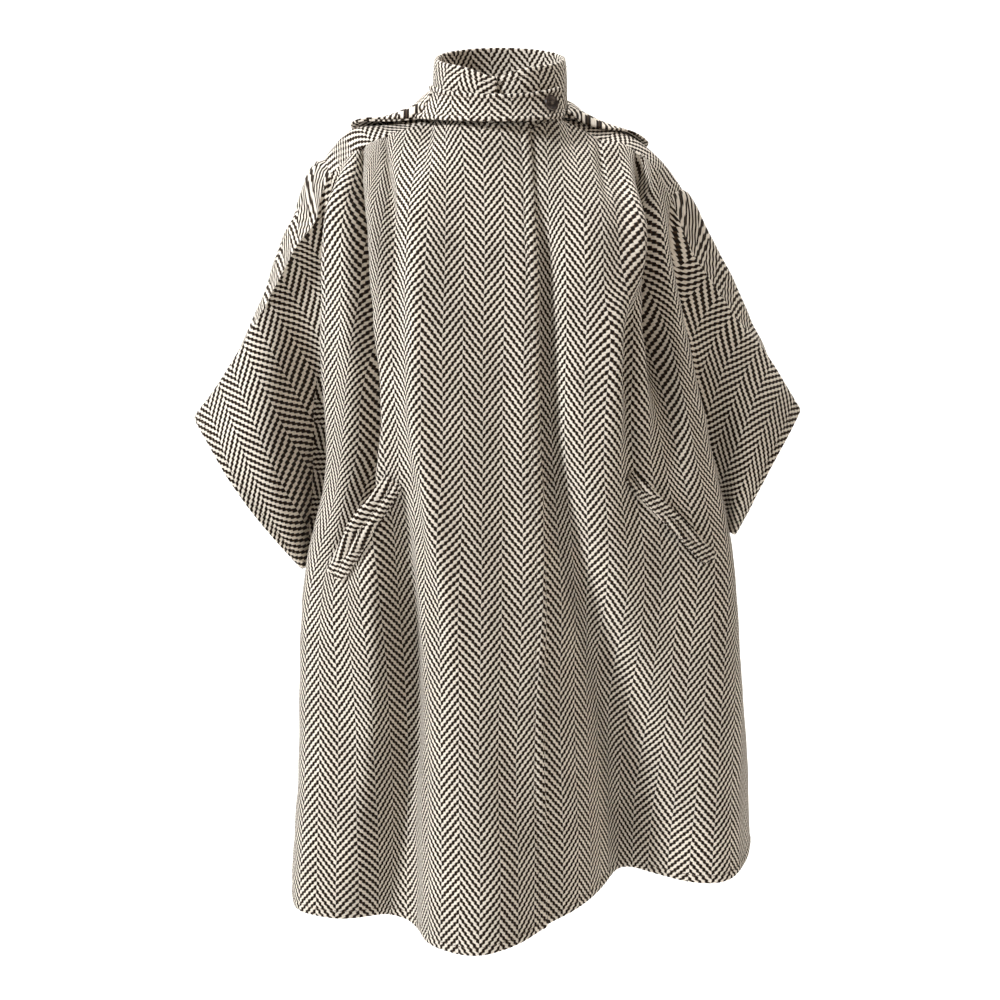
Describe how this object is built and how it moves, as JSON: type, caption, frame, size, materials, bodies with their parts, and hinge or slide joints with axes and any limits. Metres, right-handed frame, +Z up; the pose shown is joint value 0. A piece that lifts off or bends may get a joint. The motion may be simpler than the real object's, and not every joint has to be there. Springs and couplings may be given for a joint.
{
  "type": "hooded cape",
  "caption": "Knee-length hooded wool cape in herringbone tweed with wide open sleeves, stand collar, buttoned throat tab, covered front closing and slanted welt pockets.",
  "frame": {"origin": "middle of the neckline, at the height where the collar meets the shoulders: the wearer's neck and shoulders hold the cape there", "axes": "+Z up, -Y to the front, -X to the wearer's right"},
  "size_m": [0.7407, 0.4517, 1.0484],
  "materials": {
    "tweed": "matte woven wool herringbone",
    "horn": "polished dark horn"
  },
  "bodies": {
    "root": {"back": "tweed", "front_right": "tweed", "front_left": "tweed", "sleeve_front_right": "tweed", "sleeve_front_left": "tweed", "sleeve_back_right": "tweed", "sleeve_back_left": "tweed", "collar_stand": "tweed", "hood": "tweed", "throat_tab": "tweed", "pocket_welt_right": "tweed", "pocket_welt_left": "tweed", "tab_button": "horn"}
  },
  "joints": []
}
